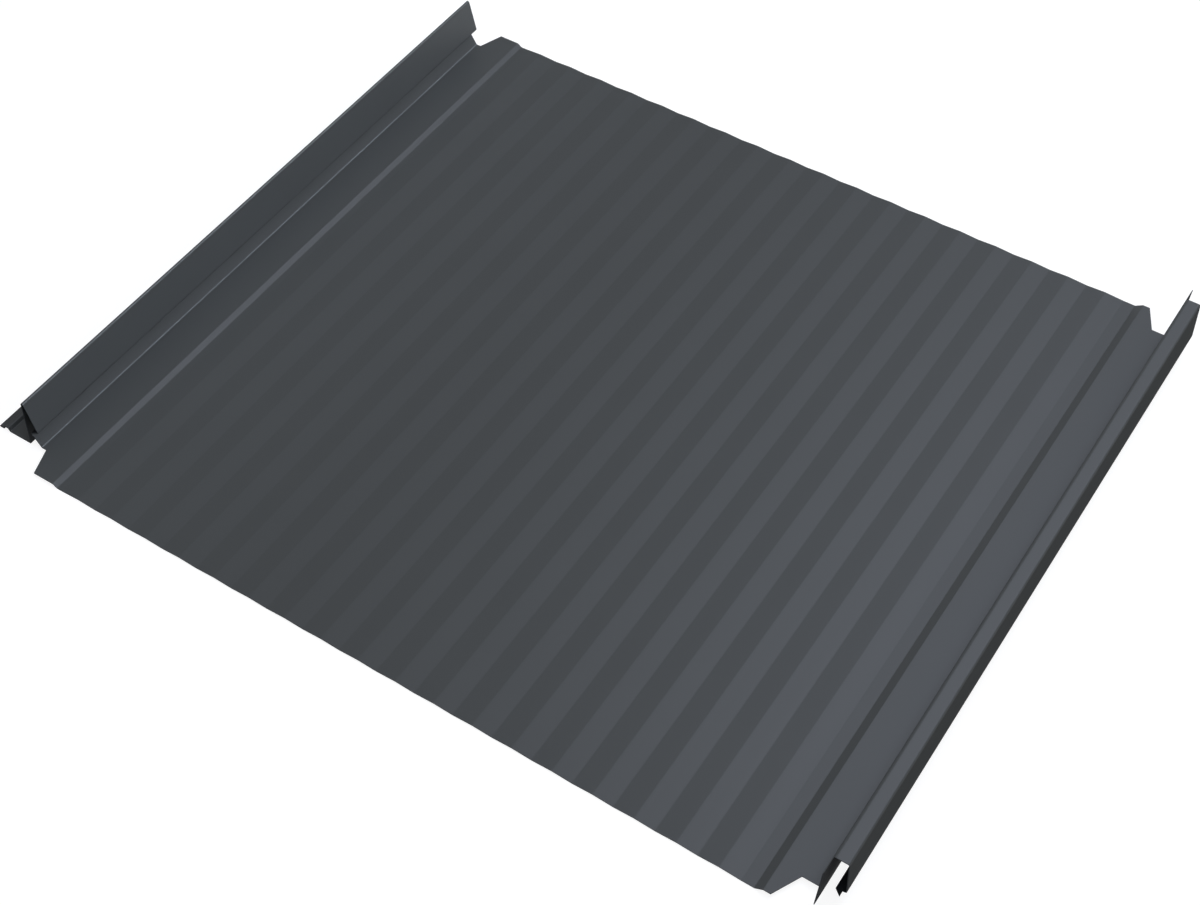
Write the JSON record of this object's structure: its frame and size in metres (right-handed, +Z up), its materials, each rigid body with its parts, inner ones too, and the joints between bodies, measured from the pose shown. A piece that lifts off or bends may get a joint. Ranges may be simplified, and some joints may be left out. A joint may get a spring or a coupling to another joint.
{
  "type": "standing seam roof panel",
  "caption": "Roll-formed painted steel roofing strip with a finely rippled pan, a barbed male rib with a slotted fixing flange on one edge and a female seam that clips over the next panel on the other.",
  "frame": {"origin": "centre of the panel's footprint, at the level of the deck that it lies on", "axes": "+X across the panel, from the fixing flange and male rib towards the female seam; +Y along the seams; +Z up, away from the deck"},
  "size_m": [0.5072, 0.425, 0.0347],
  "materials": {
    "coated_steel": "matt coil coating, graphite grey"
  },
  "bodies": {
    "root": {"roof_panel": "coated_steel"}
  },
  "joints": []
}
